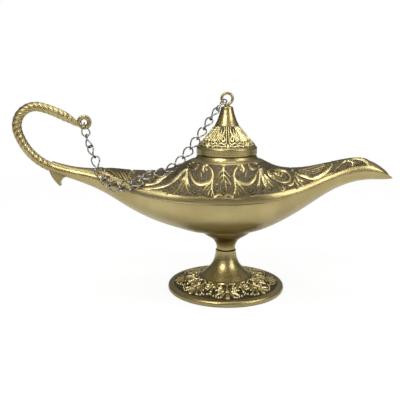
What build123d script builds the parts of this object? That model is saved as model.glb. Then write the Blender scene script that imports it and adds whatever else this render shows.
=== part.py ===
"""Genie oil lamp: a boat-shaped metal bowl and embossed deck on a stem and round foot, with a rope-twist
handle, a lift-off lid and a chain of curb links from the handle's eye to the eye on the lid.

Millimetres. +Z is up, +X points to the spout, -Y faces the viewer, and the origin is the centre of the
foot's underside. Each separate casting, wire or fastener is written to its own STEP file in parts/.
"""
from build123d import *
from math import cos, pi, radians, sin, sqrt
import os

# Driving dimensions of the body
SPOUT_REACH = 97.0            # lamp axis to the tip of the spout
TAIL_REACH = 103.0            # lamp axis to the end of the tail, where the handle starts
BODY_HALF_BREADTH = 33.0      # widest half breadth, at the seam
BODY_BASE = 34.9              # height of the lowest point of the bowl, were there no neck
BODY_TALL = 47.7              # from there to the highest point of the deck, were there no lid opening
BODY_WALL = 1.8               # casting thickness
SEAM_GAP = 0.02               # the solder line between bowl and deck

# Foot, stem, neck and the screw that holds them together
FOOT_RADIUS = 34.7
FOOT_HEIGHT = 8.0
FOOT_RIM_HEIGHT = 3.7
FOOT_RIM_INSET = 1.6          # from the widest point of the rim in to the edge of the top face
FOOT_WALL = 2.2
STEM_FOOT_RADIUS = 15.0
STEM_TOP_RADIUS = 6.0
STEM_HEIGHT = 16.0
STEM_WALL = 1.8
STEM_EDGE = 0.5               # height of the square edge at the stem's bottom
NECK_RADIUS = 5.5
NECK_GROOVE = 0.7             # open groove between the neck and the top of the stem
SPIGOT_RADIUS = 4.2
SPIGOT_LENGTH = 2.6
FIT_CLEARANCE = 0.1           # radial, where one casting plugs into another
SCREW_RADIUS = 2.0
SCREW_CLEARANCE = 0.2
THREAD_CLEARANCE = 0.05
SCREW_REACH = 8.0             # how far the screw goes up into the neck
SCREW_HEAD_RADIUS = 3.6
SCREW_HEAD_HEIGHT = 2.2
SCREW_SLOT_WIDTH = 0.9
SCREW_SLOT_DEPTH = 1.0
WASHER_RADIUS = 5.0
WASHER_HEIGHT = 0.8

# Collar, lid and the wire eye on the lid
COLLAR_DROP = 1.6             # from the deck's highest point, were there no opening, to the collar's top
COLLAR_RADIUS = 17.4
COLLAR_BORE = 14.9
COLLAR_DEPTH = 7.5            # from the collar's top down to its lower edge inside the bowl
COLLAR_FLARE = 3.3            # how far the collar's foot spreads over the deck
LID_SEAT_GAP = 0.1
LID_RADIUS = 17.5
LID_RIM_HEIGHT = 4.9
LID_HEIGHT = 27.5             # from the underside of the rim to the flat top
LID_TOP_RADIUS = 3.4
LID_WALL = 1.6
LID_TOP_SOFT = 0.6            # rounding of the edge round the flat top
LID_PLUG_CLEARANCE = 0.4      # radial, the lid's plug in the collar
LID_PLUG_DEPTH = 4.5
EYE_WIRE_RADIUS = 0.78
EYE_RING_RADIUS = 3.1         # centreline
EYE_STANDOFF = 4.4            # from the lid's flat top to the centre of the ring
EYE_LEG_SPREAD = 0.86         # each leg's centreline from the lid's axis
EYE_NECK_BEND = 1.0           # radius of the bends between the ring and its legs
EYE_TAIL_BEND = 2.0           # radius of the bends that hold the legs inside the lid
EYE_TAIL_TURN = 65.0          # degrees
EYE_HOLE_CLEARANCE = 0.1

# Rope handle: its centreline leaves the tail and turns clockwise in three arcs
ROPE_RADIUS = 2.75
HANDLE_START_ANGLE = 156.5    # degrees, measured up from +X
HANDLE_RISE_RADIUS = 31.0     # the first of three arcs, up from the tail
HANDLE_RISE_TURN = 50.5       # degrees
HANDLE_TOP_RADIUS = 11.5      # the second, over the top
HANDLE_TOP_TURN = 120.5       # degrees
HANDLE_END_RADIUS = 60.0      # the third, down to the boss
HANDLE_END_TURN = 22.5        # degrees
TENON_RADIUS = 1.6
TENON_LENGTH = 9.0
BOSS_RADIUS = 4.2
BOSS_THICKNESS = 2.4
BOSS_AHEAD = 3.4              # from the end of the rope's centreline on to the middle of the boss
BOSS_UP = 1.6
BOSS_HOLE_RADIUS = 1.7
BOSS_DISH_RADIUS = 2.8
BOSS_DISH_DEPTH = 0.5

# Spur below the tail
SPUR_DROP = 8.6
SPUR_LENGTH = 7.4
SPUR_BREADTH = 4.2
SPUR_BITE = 0.6               # how far its root reaches up into the tail

# Chain of twisted curb links
LINK_COUNT = 19
LINK_WIDTH = 6.7
LINK_WIRE_RADIUS = 0.425
LINK_TWIST = 90.0             # degrees, from one end of a link to the other
LINK_SLACK = 0.12             # open gap between the wires where two links cross
BOSS_HANG = 0.9               # how far the first link's wire hangs below the middle of the boss's hole
RING_LEAN = 1.1               # the last link's wire inside the ring, towards the handle
RING_HANG = 1.0              # and below the ring's middle

OVERRUN = 5.0                 # how far cutting tools run past what they cut

# The body at each station: x as a share of the reach on its side, half breadth as a share of the widest,
# and the keel, seam and ridge as shares of BODY_TALL above BODY_BASE. The first lies past the tail's end.
STATION_SHARES = [
    (-1.030, 0.088, 0.795, 0.863, 0.935),
    (-1.000, 0.091, 0.763, 0.830, 0.901),
    (-0.951, 0.106, 0.719, 0.786, 0.864),
    (-0.893, 0.118, 0.679, 0.757, 0.832),
    (-0.835, 0.140, 0.635, 0.732, 0.811),
    (-0.752, 0.212, 0.564, 0.698, 0.799),
    (-0.660, 0.318, 0.461, 0.641, 0.792),
    (-0.563, 0.470, 0.333, 0.581, 0.770),
    (-0.466, 0.621, 0.222, 0.539, 0.757),
    (-0.369, 0.764, 0.138, 0.512, 0.762),
    (-0.272, 0.879, 0.075, 0.493, 0.820),
    (-0.175, 0.958, 0.021, 0.482, 0.925),
    (-0.058, 1.000, 0.000, 0.478, 1.000),
    (0.062, 1.000, 0.000, 0.480, 1.000),
    (0.186, 0.958, 0.042, 0.497, 0.925),
    (0.289, 0.864, 0.126, 0.526, 0.824),
    (0.392, 0.721, 0.235, 0.572, 0.788),
    (0.495, 0.555, 0.363, 0.629, 0.805),
    (0.598, 0.391, 0.493, 0.696, 0.853),
    (0.701, 0.279, 0.593, 0.753, 0.899),
    (0.804, 0.218, 0.650, 0.782, 0.918),
    (0.876, 0.188, 0.662, 0.778, 0.878),
    (0.938, 0.139, 0.662, 0.750, 0.800),
    (1.000, 0.021, 0.671, 0.684, 0.692),
]
CAVITY_START_SHARE = -0.70    # the body is hollow from here, as a share of the tail's reach
CAVITY_END_SHARE = 0.972      # to here, as a share of the spout's reach
THIN_WALL_SHARE = 0.65        # the wall thins out from here
HANDLE_START_SHARE = 0.8197   # height at the tail, as a share of BODY_TALL above BODY_BASE
NO_WALL_SHARE = 1.12          # towards nothing here, past the spout's tip
MOUTH_SHARE = 0.945           # where the deck ends above the spout's lip
MOUTH_SLOPE = 55.0            # degrees, of the deck's end face from level

# The chain's way from the boss to the ring: x as a share of the tail's reach, y as a share of the widest half
# breadth, height as a share of BODY_TALL above BODY_BASE, where what is past 1 is a share of LID_HEIGHT on top
# of it, and which way the flat of the links faces there.
CHAIN_ROUTE_SHARES = [
    (-0.786, -0.030, 1.3677, (-0.9, 0.45, 0.0)),
    (-0.759, -0.106, 1.0659, (-1.0, -0.3, 0.0)),
    (-0.727, -0.188, 0.908, (-0.8, -0.9, 0.1)),
    (-0.711, -0.248, 0.790, (-0.5, -1.0, 0.4)),
    (-0.683, -0.330, 0.722, (-0.3, -1.0, 0.5)),
    (-0.635, -0.462, 0.640, (-0.3, -1.0, 0.1)),
    (-0.574, -0.555, 0.620, (-0.3, -1.0, 0.0)),
    (-0.508, -0.585, 0.678, (-0.2, -0.9, 0.5)),
    (-0.450, -0.525, 0.737, (-0.2, -0.7, 0.9)),
    (-0.391, -0.450, 0.786, (-0.1, -0.6, 1.0)),
    (-0.317, -0.462, 0.814, (-0.2, -0.6, 1.0)),
    (-0.274, -0.378, 0.888, (-0.5, -0.6, 0.8)),
    (-0.230, -0.291, 0.979, (-0.5, -0.7, 0.6)),
    (-0.187, -0.230, 1.1752, (-0.6, -0.7, 0.5)),
    (-0.149, -0.176, 1.3747, (-0.7, -0.6, 0.5)),
    (-0.110, -0.127, 1.5932, (-0.8, -0.4, 0.6)),
    (-0.071, -0.073, 1.8118, (-0.8, -0.2, 0.6)),
]
# The lid's outline above its rim: radius as a share of the way from the top's radius to the rim's,
# and height as a share of the way up
LID_OUTLINE_SHARES = [(0.94, 0.0), (0.78, 0.11), (0.59, 0.24), (0.415, 0.37), (0.265, 0.515), (0.155, 0.65),
                      (0.07, 0.80), (0.02, 0.91), (0.0, 1.0)]
LID_CEILING_SHARE = 0.74      # the lid is hollow up to here
# The stem's outline: radius as a share from its top's to its foot's, and height as a share
STEM_OUTLINE_SHARES = [(1.0, 0.0), (0.62, 0.20), (0.31, 0.40), (0.13, 0.60), (0.03, 0.82), (0.0, 1.0)]
STEM_CEILING_SHARE = 0.5      # the stem is hollow up to here
# The neck's outline: radius past NECK_RADIUS, and height, as shares of the neck's height to the bowl
NECK_OUTLINE_SHARES = [(0.0, 0.0), (0.11, 0.32), (0.45, 0.60), (1.0, 0.80), (1.5, 0.98), (2.0, 1.31)]


def station_at(x_share):
    """Half breadth, keel, seam and ridge heights at a place along the body, between its stations."""
    rows = STATION_SHARES
    after = next(i for i in range(1, len(rows)) if rows[i][0] >= x_share or i == len(rows) - 1)
    low, high = rows[after - 1], rows[after]
    part = (x_share - low[0]) / (high[0] - low[0])
    breadth, keel, seam, ridge = (low[i] + part * (high[i] - low[i]) for i in range(1, 5))
    return (BODY_HALF_BREADTH * breadth, BODY_BASE + BODY_TALL * keel,
            BODY_BASE + BODY_TALL * seam, BODY_BASE + BODY_TALL * ridge)


def place_of(x_share):
    """A station's x from its share."""
    return x_share * (SPOUT_REACH if x_share > 0 else TAIL_REACH)


def wall_at(x_share):
    """The casting's wall, thinner towards the spout's lip."""
    if x_share < THIN_WALL_SHARE:
        return BODY_WALL
    return BODY_WALL * (NO_WALL_SHARE - x_share) / (NO_WALL_SHARE - THIN_WALL_SHARE)


def half_section(x_share, upward, inset=0, past=0):
    """Half an ellipse below or above the seam, closed by a straight line that may lie past the seam."""
    breadth, keel, seam, ridge = station_at(x_share)
    tall = (ridge - seam if upward else seam - keel) - inset
    wide = breadth - inset
    away = 1 if upward else -1
    plane = Plane(origin=(place_of(x_share), 0, seam), x_dir=(0, 1, 0), z_dir=(1, 0, 0))
    arc = EllipticalCenterArc((0, 0), wide, tall, 0 if upward else 180, arc_size=180)
    ends = [(wide * away, 0), (wide * away, -past * away), (-wide * away, -past * away), (-wide * away, 0)]
    if past == 0:
        ends = [ends[0], ends[3]]
    return plane * make_face([arc, *[Line(ends[i], ends[i + 1]) for i in range(len(ends) - 1)]])


def outside(upward):
    """The outer surface of bowl or deck as a solid."""
    return loft([half_section(row[0], upward) for row in STATION_SHARES])


def cavity(upward):
    """The hollow inside bowl or deck; behind CAVITY_START_SHARE the casting is solid."""
    inner = [row[0] for row in STATION_SHARES if CAVITY_START_SHARE < row[0] < CAVITY_END_SHARE]
    shares = [CAVITY_START_SHARE, *inner, CAVITY_END_SHARE]
    return loft([half_section(share, upward, wall_at(share), OVERRUN) for share in shares])


def turned(points, bottom, top):
    """A solid of revolution under a smooth outline of (radius, height) points."""
    path = [points[-1], (points[-1][0], top), (0, top), (0, bottom), (points[0][0], bottom), points[0]]
    sides = [Line(path[i], path[i + 1]) for i in range(len(path) - 1) if path[i] != path[i + 1]]
    return revolve(Plane.XZ * make_face([Spline(*points), *sides]), Axis.Z)


def post(radius, bottom, top, x=0, y=0):
    """An upright cylinder between two heights."""
    return Pos(x, y, bottom) * Cylinder(radius, top - bottom, align=(Align.CENTER, Align.CENTER, Align.MIN))


STEM_TOP = FOOT_HEIGHT + STEM_HEIGHT
NECK_BASE = STEM_TOP + NECK_GROOVE
COLLAR_TOP = BODY_BASE + BODY_TALL - COLLAR_DROP
RIM_BASE = COLLAR_TOP + LID_SEAT_GAP
RIM_TOP = RIM_BASE + LID_RIM_HEIGHT
LID_TOP = RIM_BASE + LID_HEIGHT
RING_MIDDLE = LID_TOP + EYE_STANDOFF
HANDLE_START_HEIGHT = BODY_BASE + BODY_TALL * HANDLE_START_SHARE


def foot_disc():
    """Dished round foot: rounded rim, shallow cone, and a flat seat with the screw's hole."""
    edge = FOOT_RADIUS - FOOT_RIM_INSET
    middle = FOOT_RIM_HEIGHT / 2
    inside = edge - FOOT_WALL
    rim = ThreePointArc((edge, 0), (FOOT_RADIUS, middle), (edge, FOOT_RIM_HEIGHT))
    hole = SCREW_RADIUS + SCREW_CLEARANCE
    ceiling = FOOT_HEIGHT - FOOT_WALL
    path = [(edge, FOOT_RIM_HEIGHT), (STEM_FOOT_RADIUS, FOOT_HEIGHT), (hole, FOOT_HEIGHT), (hole, ceiling),
            (STEM_FOOT_RADIUS, ceiling), (inside, FOOT_RIM_HEIGHT - FOOT_WALL), (inside, 0), (edge, 0)]
    sides = [Line(path[i], path[i + 1]) for i in range(len(path) - 1)]
    return revolve(Plane.XZ * make_face([rim, *sides]), Axis.Z)


def stem_points(inset):
    """The stem's outline, moved in by a wall."""
    spread = STEM_FOOT_RADIUS - STEM_TOP_RADIUS
    rise = STEM_HEIGHT - STEM_EDGE
    return [(STEM_TOP_RADIUS + spread * wide - inset, FOOT_HEIGHT + STEM_EDGE + rise * high)
            for wide, high in STEM_OUTLINE_SHARES]


def stem_cone():
    """Hollow trumpet between foot and bowl, with a stepped hole for the neck's spigot and the screw."""
    stem = turned(stem_points(0), FOOT_HEIGHT, STEM_TOP)
    ceiling = FOOT_HEIGHT + STEM_HEIGHT * STEM_CEILING_SHARE
    inside = turned(stem_points(STEM_WALL), FOOT_HEIGHT, STEM_TOP)
    hollow = inside & post(STEM_FOOT_RADIUS, FOOT_HEIGHT, ceiling)
    shoulder = NECK_BASE - SPIGOT_LENGTH
    socket = post(SPIGOT_RADIUS + FIT_CLEARANCE, shoulder, STEM_TOP)
    return stem - hollow - post(SCREW_RADIUS + SCREW_CLEARANCE, FOOT_HEIGHT, STEM_TOP) - socket


def foot_washer():
    """Flat washer between the screw's head and the underside of the foot."""
    top = FOOT_HEIGHT - FOOT_WALL
    washer = post(WASHER_RADIUS, top - WASHER_HEIGHT, top)
    return washer - post(SCREW_RADIUS + SCREW_CLEARANCE, top - WASHER_HEIGHT, top)


def foot_screw():
    """Slotted screw from under the foot up into the bowl's neck."""
    seat = FOOT_HEIGHT - FOOT_WALL - WASHER_HEIGHT
    bottom = seat - SCREW_HEAD_HEIGHT
    screw = post(SCREW_HEAD_RADIUS, bottom, seat) + post(SCREW_RADIUS, seat, NECK_BASE + SCREW_REACH)
    slot = Pos(0, 0, bottom) * Box(OVERRUN * 2, SCREW_SLOT_WIDTH, SCREW_SLOT_DEPTH * 2)
    return screw - slot


def handle_plane(way):
    """The plane on which the rope handle starts, facing along the rope (1) or into the tail (-1)."""
    angle = radians(HANDLE_START_ANGLE)
    start = (-TAIL_REACH, 0, HANDLE_START_HEIGHT)
    return Plane(origin=start, x_dir=(0, 1, 0), z_dir=(way * cos(angle), 0, way * sin(angle)))


def beyond(plane, size):
    """A large block in front of a plane, for cutting."""
    return plane * Box(size, size, size, align=(Align.CENTER, Align.CENTER, Align.MIN))


def tenon(extra=0):
    """The round peg by which the handle sits in the tail."""
    long = TENON_LENGTH + extra
    return handle_plane(-1) * Cylinder(TENON_RADIUS + extra, long, align=(Align.CENTER, Align.CENTER, Align.MIN))


def spur():
    """The small hooked spur under the tail."""
    top = station_at(-1)[1]
    start = (-TAIL_REACH, top)
    tip = (start[0] + SPUR_LENGTH * 0.8, top - SPUR_DROP)
    outer = Spline(start, (start[0] + SPUR_LENGTH * 0.28, top - SPUR_DROP * 0.5), tip)
    root = (start[0] + SPUR_LENGTH * 1.25, top - SPUR_DROP * 0.38)
    keel = station_at(root[0] / TAIL_REACH)[1]
    inner = Spline(tip, (start[0] + SPUR_LENGTH * 0.85, top - SPUR_DROP * 0.66), root)
    above = (root[0], keel + SPUR_BITE)
    back = (start[0], top + SPUR_BITE)
    face = make_face([outer, inner, Line(root, above), Line(above, back), Line(back, start)])
    return extrude(Plane.XZ * face, SPUR_BREADTH / 2, both=True)


def hull():
    """The bowl: lower shell, neck with its spigot and screw hole, and the spur under the tail."""
    rise = BODY_BASE - NECK_BASE
    outline = [(NECK_RADIUS * (1 + wide), NECK_BASE + rise * high) for wide, high in NECK_OUTLINE_SHARES]
    neck = turned(outline, NECK_BASE, outline[-1][1])
    spigot = post(SPIGOT_RADIUS, NECK_BASE - SPIGOT_LENGTH, BODY_BASE)
    hole_top = NECK_BASE + SCREW_REACH + THREAD_CLEARANCE
    screw_hole = post(SCREW_RADIUS + THREAD_CLEARANCE, NECK_BASE - SPIGOT_LENGTH, hole_top)
    shell = outside(False) + neck - cavity(False)
    return (shell + spigot - screw_hole + spur()) - beyond(handle_plane(1), BODY_TALL) - tenon(FIT_CLEARANCE)


def cover():
    """The deck: upper shell, collar for the lid, and the slanting end above the spout's mouth."""
    shell = Pos(0, 0, SEAM_GAP) * (outside(True) - cavity(True))
    base = COLLAR_TOP - COLLAR_DEPTH
    shell -= post(COLLAR_BORE, base - BODY_TALL, COLLAR_TOP + OVERRUN)
    collar = post(COLLAR_RADIUS, base, COLLAR_TOP)
    flare = turned([(COLLAR_RADIUS + COLLAR_FLARE, COLLAR_TOP - COLLAR_FLARE * 1.25),
                    (COLLAR_RADIUS + COLLAR_FLARE * 0.36, COLLAR_TOP - COLLAR_FLARE * 0.78),
                    (COLLAR_RADIUS, COLLAR_TOP - COLLAR_FLARE * 0.4)],
                   COLLAR_TOP - COLLAR_FLARE * 1.4, COLLAR_TOP - COLLAR_FLARE * 0.4)
    ring = (collar + flare) - post(COLLAR_BORE, base, COLLAR_TOP)
    mouth = (MOUTH_SHARE * SPOUT_REACH, 0, station_at(MOUTH_SHARE)[3])
    slope = radians(MOUTH_SLOPE)
    end = Plane(origin=mouth, x_dir=(0, 1, 0), z_dir=(sin(slope), 0, cos(slope)))
    return (shell + ring) - beyond(end, BODY_TALL) - beyond(handle_plane(1), BODY_TALL) - tenon(FIT_CLEARANCE)


def handle_path():
    """The rope's centreline: three arcs, each tangent to the one before."""
    angle = HANDLE_START_ANGLE
    at = Vector(-TAIL_REACH, HANDLE_START_HEIGHT)
    arcs = []
    for radius, turn in ((HANDLE_RISE_RADIUS, HANDLE_RISE_TURN), (HANDLE_TOP_RADIUS, HANDLE_TOP_TURN),
                         (HANDLE_END_RADIUS, HANDLE_END_TURN)):
        arc = JernArc((at.X, at.Y), (cos(radians(angle)), sin(radians(angle))), radius, -turn)
        arcs.append(arc)
        at = arc @ 1
        angle -= turn
    return Plane.XZ * Wire(arcs)


def boss_middle():
    """The middle of the drilled boss at the end of the rope."""
    end = handle_path() @ 1
    return Vector(end.X + BOSS_AHEAD, 0, end.Z + BOSS_UP)


def handle():
    """The rope handle: a round bar on three arcs, its peg in the tail and the drilled boss at its end."""
    path = handle_path()
    start = Plane(origin=path @ 0, z_dir=path % 0)
    rope = sweep(start * Circle(ROPE_RADIUS), path)
    middle = boss_middle()
    face = Plane(origin=middle, x_dir=(1, 0, 0), z_dir=(0, -1, 0))
    boss = face * Cylinder(BOSS_RADIUS, BOSS_THICKNESS)
    body = rope + tenon() + boss - face * Cylinder(BOSS_HOLE_RADIUS, ROPE_RADIUS * 3)
    for side in (1, -1):
        rim = Pos(0, 0, side * (BOSS_THICKNESS - BOSS_DISH_DEPTH) / 2)
        turn = rim if side > 0 else rim * Rot(180, 0, 0)
        body -= face * turn * Cone(BOSS_HOLE_RADIUS, BOSS_DISH_RADIUS, BOSS_DISH_DEPTH)
        outer = Pos(0, 0, side * (BOSS_THICKNESS + ROPE_RADIUS) / 2)
        body -= face * outer * Cylinder(BOSS_RADIUS, ROPE_RADIUS)
    return body


def lid_points(inset):
    """The lid's outline above its rim, moved in by a wall."""
    spread = LID_RADIUS - LID_TOP_RADIUS
    rise = LID_TOP - RIM_TOP
    return [(LID_TOP_RADIUS + spread * wide - inset, RIM_TOP + rise * high)
            for wide, high in LID_OUTLINE_SHARES]


def lid():
    """Hollow conical lid with a rounded band and a short plug for the collar."""
    half = LID_RIM_HEIGHT / 2
    soft = LID_RIM_HEIGHT * 0.16
    band = fillet((post(LID_RADIUS, RIM_BASE, RIM_TOP)).edges().filter_by(GeomType.CIRCLE), soft)
    cone = turned(lid_points(0), RIM_TOP - half, LID_TOP)
    top_edge = cone.edges().filter_by(GeomType.CIRCLE).sort_by(Axis.Z)[-1]
    cone = fillet(top_edge, LID_TOP_SOFT)
    plug_radius = COLLAR_BORE - LID_PLUG_CLEARANCE
    plug = post(plug_radius, RIM_BASE - LID_PLUG_DEPTH, RIM_BASE + half)
    inside = plug_radius - LID_WALL
    ceiling = RIM_TOP + (LID_TOP - RIM_TOP) * LID_CEILING_SHARE
    hollow = turned(lid_points(LID_WALL), RIM_TOP - half, LID_TOP) & post(inside, RIM_BASE, ceiling)
    opening = post(inside, RIM_BASE - LID_PLUG_DEPTH, RIM_TOP)
    eye_hole = post(EYE_LEG_SPREAD + EYE_WIRE_RADIUS + EYE_HOLE_CLEARANCE, ceiling - OVERRUN, LID_TOP)
    return band + cone + plug - opening - hollow - eye_hole


def lid_eye():
    """One bent wire: a ring, two close legs down through the lid's top, and spread tails that hold it."""
    ring = EYE_RING_RADIUS
    bend = EYE_NECK_BEND
    across = EYE_LEG_SPREAD + bend
    down = sqrt((ring + bend) ** 2 - across ** 2)
    low = RING_MIDDLE - down
    touch = (ring * across / (ring + bend), RING_MIDDLE - ring * down / (ring + bend))
    mid_x, mid_z = touch[0] + EYE_LEG_SPREAD, touch[1] + low
    reach = sqrt((mid_x / 2 - across) ** 2 + (mid_z / 2 - low) ** 2)
    neck_mid = (across + (mid_x / 2 - across) * bend / reach, low + (mid_z / 2 - low) * bend / reach)
    ceiling = RIM_TOP + (LID_TOP - RIM_TOP) * LID_CEILING_SHARE
    leg_end = ceiling - EYE_HOLE_CLEARANCE
    half_turn = radians(EYE_TAIL_TURN) / 2
    hold = EYE_TAIL_BEND
    tail_mid = (EYE_LEG_SPREAD + hold * (1 - cos(half_turn)), leg_end - hold * sin(half_turn))
    tail_end = (EYE_LEG_SPREAD + hold * (1 - cos(half_turn * 2)), leg_end - hold * sin(half_turn * 2))
    path = Wire([
        ThreePointArc((0, RING_MIDDLE + ring), (ring, RING_MIDDLE), touch),
        ThreePointArc(touch, neck_mid, (EYE_LEG_SPREAD, low)),
        Line((EYE_LEG_SPREAD, low), (EYE_LEG_SPREAD, leg_end)),
        ThreePointArc((EYE_LEG_SPREAD, leg_end), tail_mid, tail_end),
    ])
    path = Plane.XZ * path
    right = sweep(Plane(origin=path @ 0, z_dir=path % 0) * Circle(EYE_WIRE_RADIUS), path)
    return right + mirror(right, Plane.YZ)


def route_line():
    """The chain's centreline in space and, along it, which way the flat of the links faces."""
    start = boss_middle() - Vector(0, 0, BOSS_HANG)
    end = Vector(-RING_LEAN, 0, RING_MIDDLE - RING_HANG)
    first, last = (-0.87, 0.50, 0.0), (-0.8, 0.0, 0.6)
    points = [Vector(TAIL_REACH * x, BODY_HALF_BREADTH * y,
                     BODY_BASE + BODY_TALL * min(z, 1) + LID_HEIGHT * max(z - 1, 0))
              for x, y, z, _ in CHAIN_ROUTE_SHARES]
    facings = [Vector(*first), *[Vector(*row[3]) for row in CHAIN_ROUTE_SHARES], Vector(*last)]
    return Spline(start, *points, end), [start, *points, end], facings


def facing_at(point, points, facings):
    """The flat's facing at the nearest place on the route, between the two points beside it."""
    best = None
    for i in range(len(points) - 1):
        span = points[i + 1] - points[i]
        part = max(0.0, min(1.0, (point - points[i]).dot(span) / span.dot(span)))
        gap = (points[i] + span * part - point).length
        if best is None or gap < best[0]:
            best = (gap, facings[i] * (1 - part) + facings[i + 1] * part)
    return best[1]


def joint_points():
    """Places where the links cross: equal straight steps along the route, the step found by halving."""
    line, _, _ = route_line()
    fine = 2000
    trail = [line @ (i / fine) for i in range(fine + 1)]
    low, high = line.length / LINK_COUNT * 0.5, line.length / LINK_COUNT

    def walk(step):
        made, at = [trail[0]], trail[0]
        for i in range(1, len(trail)):
            while len(made) < LINK_COUNT and (trail[i] - at).length >= step:
                before, after = (trail[i - 1] - at).length, (trail[i] - at).length
                part = (step - before) / (after - before)
                at = trail[i - 1] + (trail[i] - trail[i - 1]) * part
                made.append(at)
        return made

    for _ in range(40):
        step = (low + high) / 2
        made = walk(step)
        left = (trail[-1] - made[-1]).length
        if len(made) == LINK_COUNT and left > step:
            low = step
        else:
            high = step
    return [*walk(low)[:LINK_COUNT], trail[-1]], low


def link_solid(pitch):
    """One twisted curb link about its own middle, its long way along X and its flat facing Z."""
    along = (pitch + LINK_WIRE_RADIUS * 2 + LINK_SLACK) / 2
    aside = LINK_WIDTH / 2 - LINK_WIRE_RADIUS
    steps = 5

    def at(turn):
        lean = radians(LINK_TWIST) / 2 * cos(turn)
        return (along * cos(turn), aside * sin(turn) * cos(lean), aside * sin(turn) * sin(lean))

    link = None
    for quarter in (0.5, 1.5, 2.5, 3.5):
        line = Spline(*[at(pi / 2 * (quarter + i / steps)) for i in range(steps + 1)])
        piece = sweep(Plane(origin=line @ 0, z_dir=line % 0) * Circle(LINK_WIRE_RADIUS), line)
        link = piece if link is None else link + piece
    return link


def chain_links():
    """Every link in its place along the route."""
    points, pitch = joint_points()
    _, route, facings = route_line()
    link = link_solid(pitch)
    placed = []
    for i in range(LINK_COUNT):
        middle = (points[i] + points[i + 1]) / 2
        along = (points[i + 1] - points[i]).normalized()
        facing = facing_at(middle, route, facings)
        facing = (facing - along * facing.dot(along)).normalized()
        placed.append(Plane(origin=middle, x_dir=along, z_dir=facing) * link)
    return placed


def build():
    os.makedirs("parts", exist_ok=True)
    nodes = {"foot_disc": foot_disc(), "stem_cone": stem_cone(), "foot_washer": foot_washer(),
             "foot_screw": foot_screw(), "hull": hull(), "cover": cover(), "handle": handle(),
             "lid": lid(), "lid_eye": lid_eye()}
    for i, link in enumerate(chain_links(), 1):
        nodes[f"chain_link_{i:02d}"] = link
    for name, shape in nodes.items():
        solids = shape.solids()
        whole = solids[0] if len(solids) == 1 else Compound(children=solids)
        whole.label = name
        export_step(whole, f"parts/{name}.step")


if __name__ == "__main__":
    build()
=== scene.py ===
# %% [markdown]
# # A genie oil lamp in antique brass
# The imported model gives every solid piece in its place, in metres, with the origin under the foot and
# the spout towards +X. This lesson adds what a casting shows and a plain solid doesn't: the embossed
# scrolls and leaves, the rope twist of the handle, and brass that is bright where hands rub it and dark
# in the hollows. The colour also carries a painted highlight on the highest ridges and painted shade in
# the creases.

# %% Load the imported model
import bpy
import math
import numpy as np
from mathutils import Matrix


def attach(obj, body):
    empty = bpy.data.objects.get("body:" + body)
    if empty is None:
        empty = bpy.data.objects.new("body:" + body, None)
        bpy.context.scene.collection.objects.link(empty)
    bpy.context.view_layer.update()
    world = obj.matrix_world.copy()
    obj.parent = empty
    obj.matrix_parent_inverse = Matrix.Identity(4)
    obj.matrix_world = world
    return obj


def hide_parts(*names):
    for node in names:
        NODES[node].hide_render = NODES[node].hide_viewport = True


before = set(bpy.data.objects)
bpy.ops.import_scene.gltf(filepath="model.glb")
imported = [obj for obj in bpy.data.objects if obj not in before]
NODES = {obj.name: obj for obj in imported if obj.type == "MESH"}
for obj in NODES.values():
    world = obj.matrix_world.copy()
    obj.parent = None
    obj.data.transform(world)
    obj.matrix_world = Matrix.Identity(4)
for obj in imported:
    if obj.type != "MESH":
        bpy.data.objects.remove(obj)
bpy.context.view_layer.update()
MM = 0.001

# %% [markdown]
# ## The camera
# Four circles of the lamp (foot, stem, neck and lid) show as ellipses, and how flat each one is gives
# the height of the eye and how strong the perspective is. The result is a camera 34 cm in front of the
# lamp, level with a point just above the lid's ring, looking 11.4 degrees down.

# %% Set the camera
FOCAL_PIXELS = 588.0          # focal length in pixels of a 400 pixel picture
PITCH = math.radians(11.4)
EYE = (-15.48, -340.0, 122.6)     # mm

camera_data = bpy.data.cameras.new("camera")
camera_data.sensor_width = 36.0
camera_data.lens = FOCAL_PIXELS * camera_data.sensor_width / 400
camera_data.clip_start = 0.01
camera = bpy.data.objects.new("camera", camera_data)
bpy.context.scene.collection.objects.link(camera)
camera.location = [v * MM for v in EYE]
camera.rotation_euler = (math.pi / 2 - PITCH, 0, 0)
bpy.context.scene.camera = camera


def sheet_of(points):
    """Where points in mm show on the front-view drawing sheet, in its units of 1/400 of the width."""
    deep, drop = points[:, 1] - EYE[1], EYE[2] - points[:, 2]
    depth = deep * math.cos(PITCH) + drop * math.sin(PITCH)
    across = 200 + FOCAL_PIXELS * (points[:, 0] - EYE[0]) / depth
    down = 200 + FOCAL_PIXELS * (drop * math.cos(PITCH) - deep * math.sin(PITCH)) / depth
    return np.stack([across, down], 1)


print("lens", round(camera_data.lens, 1), "mm")

# %% [markdown]
# ## Helpers for colour and shader nodes
# Colours are written as they look on a screen and are turned into linear light by one function. One more
# function adds a shader node together with its settings and its links, so that each material reads as a
# list.

# %% Colour and node helpers


def linear(code):
    """A screen colour such as #A8965A as linear red, green, blue and alpha."""
    parts = [int(code[i:i + 2], 16) / 255 for i in (1, 3, 5)]
    return [*(c / 12.92 if c <= 0.04045 else ((c + 0.055) / 1.055) ** 2.4 for c in parts), 1.0]


def add(tree, kind, settings=(), **inputs):
    """A node with its settings, its plain input values, and links from other nodes' sockets."""
    made = tree.nodes.new("ShaderNode" + kind)
    for name, value in dict(settings).items():
        setattr(made, name, value)
    for name, value in inputs.items():
        key = int(name[1:]) if name[0] == "_" and name[1:].isdigit() else name.replace("_", " ")
        if isinstance(value, bpy.types.NodeSocket):
            tree.links.new(value, made.inputs[key])
        else:
            made.inputs[key].default_value = value
    return made


def ramp(tree, source, stops):
    """A colour ramp from (place, colour) pairs."""
    made = add(tree, "ValToRGB", Fac=source)
    band = made.color_ramp
    while len(band.elements) < len(stops):
        band.elements.new(0.5)
    for element, (place, colour) in zip(band.elements, stops):
        element.position = place
        element.color = linear(colour)
    return made.outputs["Color"]


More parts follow.
